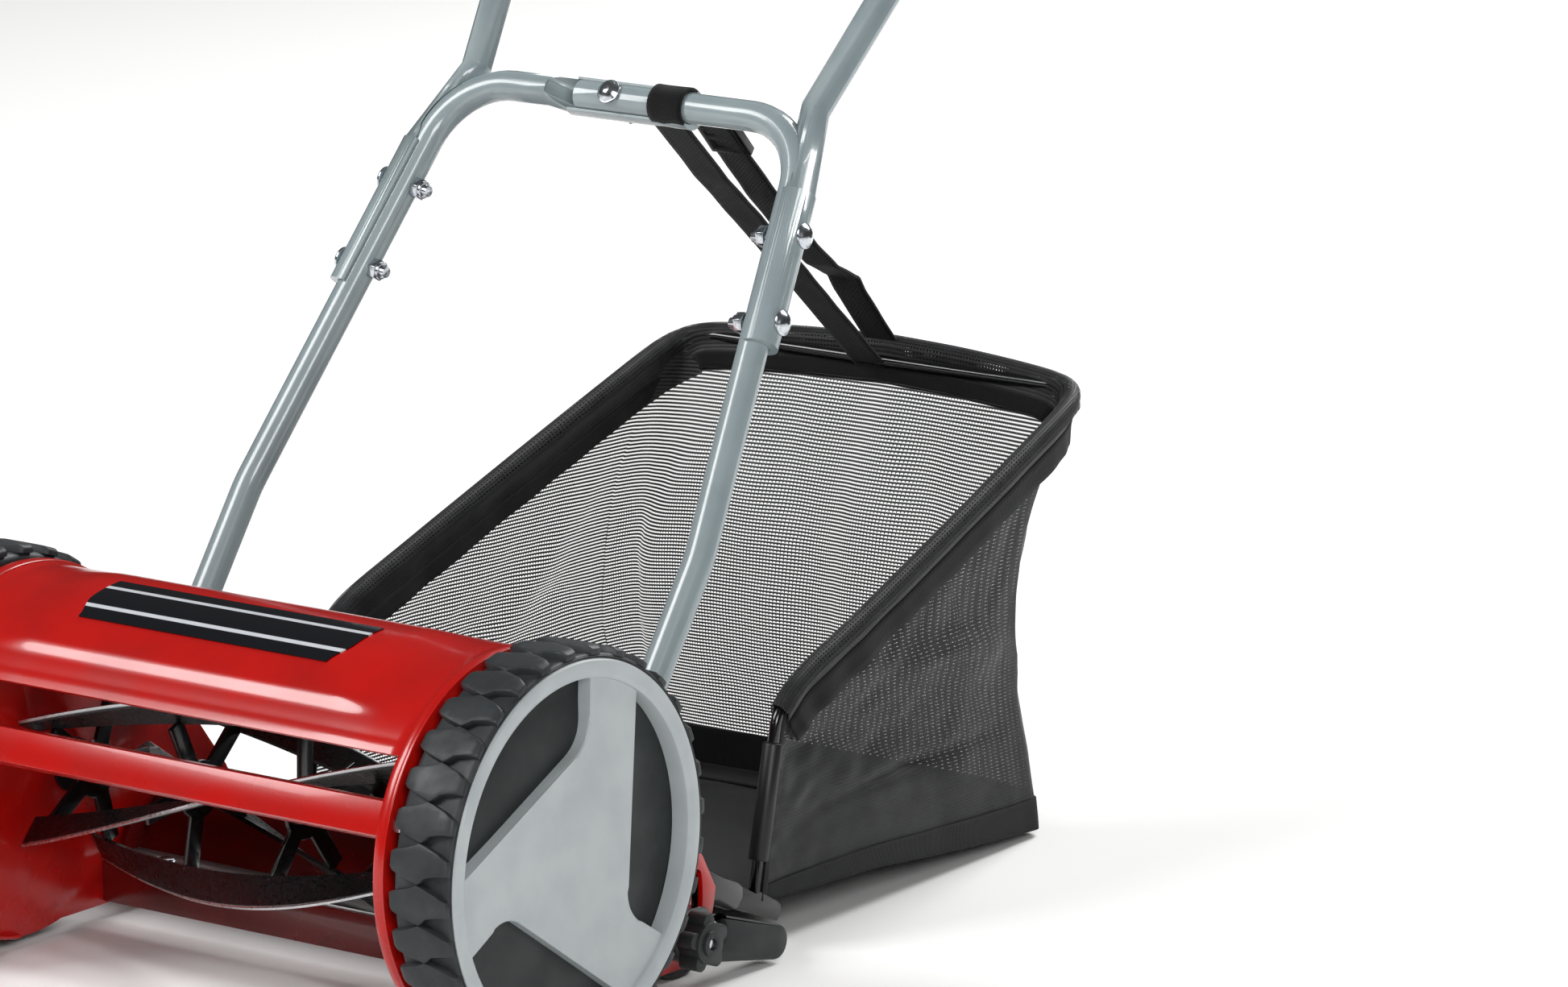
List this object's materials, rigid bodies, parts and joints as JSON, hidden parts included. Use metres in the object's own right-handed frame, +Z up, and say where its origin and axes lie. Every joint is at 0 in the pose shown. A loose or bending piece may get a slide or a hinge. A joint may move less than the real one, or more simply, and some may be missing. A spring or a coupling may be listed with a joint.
{
  "type": "reel mower",
  "caption": "Hand-pushed reel mower with helical blades driven by the wheels, a rear roller, a tubular handle and a mesh grass bag.",
  "frame": {"origin": "on the ground, midway between the wheels, straight below the wheel axle", "axes": "+Z up, +X to the right seen from the front, the machine mows towards -Y and the handle and bag lie towards +Y"},
  "size_m": [0.43, 0.8238, 0.9215],
  "materials": {
    "red_enamel": "gloss red enamel on pressed steel",
    "red_abs": "gloss moulded red plastic",
    "black_panel": "gloss black inlay",
    "zinc_steel": "bright zinc plate",
    "ground_steel": "ground steel",
    "black_nylon": "satin moulded plastic",
    "dark_plastic": "fine moulded texture",
    "silver_plastic": "silver painted plastic",
    "tyre": "soft matte tyre compound",
    "silver_paint": "silver-grey gloss powder coat",
    "black_enamel": "gloss black enamel",
    "black_gloss_plastic": "gloss moulded plastic",
    "foam": "closed-cell foam",
    "webbing": "woven polypropylene webbing",
    "canvas": "coated polyester canvas",
    "mesh": "open polyester mesh"
  },
  "bodies": {
    "chassis": {"side_plate_right": "red_enamel", "side_plate_left": "red_enamel", "deck_cover": "red_abs", "deck_panel": "black_panel", "tie_bar": "red_enamel", "frame_bolts": "zinc_steel", "wheel_axle_right": "zinc_steel", "wheel_axle_left": "zinc_steel", "axle_clips": "zinc_steel", "reel_bushes": "black_nylon", "height_pivots": "zinc_steel", "bag_hooks": "black_enamel", "lower_tube_right": "silver_paint", "lower_tube_left": "silver_paint", "upper_tube_right": "silver_paint", "upper_tube_left": "silver_paint", "handle_bar": "silver_paint", "foam_grip": "foam", "foot_bolts": "zinc_steel", "handle_bolts": "zinc_steel", "handle_nuts": "zinc_steel", "wing_nuts": "black_nylon", "strap": "webbing", "strap_buckle": "black_nylon"},
    "knife": {"knife_carrier": "red_enamel", "bed_knife": "ground_steel", "knife_screws": "zinc_steel"},
    "wheel_right": {"tyre_right": "tyre", "wheel_rim_right": "dark_plastic", "ring_gear_right": "dark_plastic", "wheel_trim_right": "silver_plastic"},
    "wheel_left": {"tyre_left": "tyre", "wheel_rim_left": "dark_plastic", "ring_gear_left": "dark_plastic", "wheel_trim_left": "silver_plastic"},
    "reel": {"reel_shaft": "black_enamel", "reel_spiders": "black_enamel", "reel_blade_1": "black_enamel", "reel_blade_2": "black_enamel", "reel_blade_3": "black_enamel", "reel_blade_4": "black_enamel", "reel_blade_5": "black_enamel", "pinion_right": "ground_steel", "pinion_left": "ground_steel"},
    "height_bracket": {"roller_plates": "black_enamel", "rear_arm_right": "dark_plastic", "rear_arm_left": "dark_plastic", "roller_axle": "zinc_steel", "roller_nuts": "zinc_steel", "clamp_bolts": "zinc_steel"},
    "roller": {"roller_drum": "black_nylon", "roller_caps": "black_nylon"},
    "knob_right": {"star_knob_right": "dark_plastic"},
    "knob_left": {"star_knob_left": "dark_plastic"},
    "bag": {"bag_frame": "black_enamel", "bag_sleeves": "black_nylon", "bag_feet": "black_gloss_plastic", "bag_floor": "canvas", "bag_mesh": "mesh"}
  },
  "joints": [
    {"name": "wheel_right_spin", "type": "hinge", "parent": "chassis", "child": "wheel_right", "pos_m": [0.18, 0, 0.103], "axis": [1, 0, 0], "continuous": true},
    {"name": "wheel_left_spin", "type": "hinge", "parent": "chassis", "child": "wheel_left", "pos_m": [-0.18, 0, 0.103], "axis": [1, 0, 0], "continuous": true},
    {"name": "reel_spin", "type": "hinge", "parent": "chassis", "child": "reel", "pos_m": [0, 0.03437, 0.088], "axis": [1, 0, 0], "continuous": true},
    {"name": "knife_adjust", "type": "hinge", "parent": "chassis", "child": "knife", "pos_m": [0, 0.08, 0.042], "axis": [1, 0, 0], "range_deg": [0, 2]},
    {"name": "height_adjust", "type": "hinge", "parent": "chassis", "child": "height_bracket", "pos_m": [0, 0.1, 0.044], "axis": [1, 0, 0], "range_deg": [0, 30]},
    {"name": "roller_spin", "type": "hinge", "parent": "height_bracket", "child": "roller", "pos_m": [0, 0.147, 0.027], "axis": [1, 0, 0], "continuous": true},
    {"name": "knob_right_turn", "type": "hinge", "parent": "height_bracket", "child": "knob_right", "pos_m": [0.178, 0.125, 0.029], "axis": [1, 0, 0], "range_deg": [0, 360]},
    {"name": "knob_left_turn", "type": "hinge", "parent": "height_bracket", "child": "knob_left", "pos_m": [-0.178, 0.125, 0.029], "axis": [1, 0, 0], "range_deg": [0, 360]},
    {"name": "bag_tilt", "type": "hinge", "parent": "chassis", "child": "bag", "pos_m": [0, 0.186, 0.0355], "axis": [1, 0, 0], "range_deg": [0, 12], "deforming": ["strap"]}
  ],
  "couplings": [
    {"joint": "wheel_left_spin", "follows": "wheel_right_spin", "ratio": 1},
    {"joint": "reel_spin", "follows": "wheel_right_spin", "ratio": 4.125}
  ]
}
